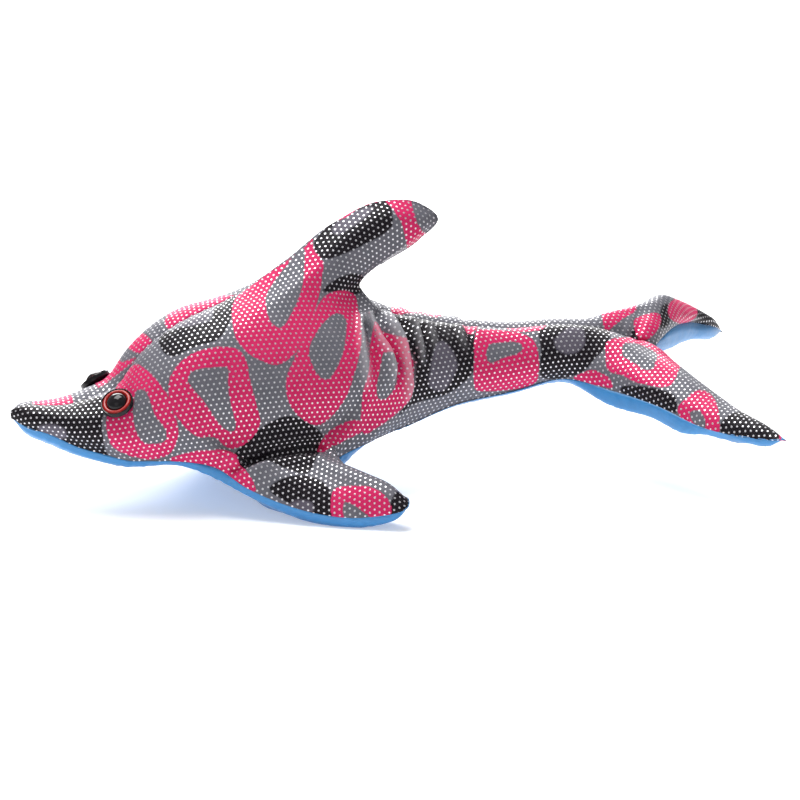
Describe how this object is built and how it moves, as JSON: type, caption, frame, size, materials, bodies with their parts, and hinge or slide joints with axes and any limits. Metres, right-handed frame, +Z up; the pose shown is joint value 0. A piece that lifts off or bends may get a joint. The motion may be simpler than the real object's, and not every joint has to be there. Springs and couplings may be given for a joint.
{
  "type": "plush dolphin",
  "caption": "Filled soft dolphin sewn from printed side panels and a satin belly, with back fin, flippers, flukes and domed plastic eyes.",
  "frame": {"origin": "on the table under the middle of the toy's box", "axes": "+Z up, -X towards the beak, -Y towards the dolphin's left side"},
  "size_m": [0.3218, 0.181, 0.1157],
  "materials": {
    "printed_fabric": "stretch fabric with rosette print and foil dots",
    "blue_satin": "satin",
    "filling": "loose fibre",
    "black_plastic": "gloss",
    "red_plastic": "gloss",
    "clear_plastic": "natural"
  },
  "bodies": {
    "root": {"side_panel_left": "printed_fabric", "side_panel_right": "printed_fabric", "belly_panel": "blue_satin", "filling": "filling", "eye_button_left": "black_plastic", "eye_button_right": "black_plastic", "iris_ring_left": "red_plastic", "iris_ring_right": "red_plastic", "eye_washer_left": "clear_plastic", "eye_washer_right": "clear_plastic"}
  },
  "joints": []
}
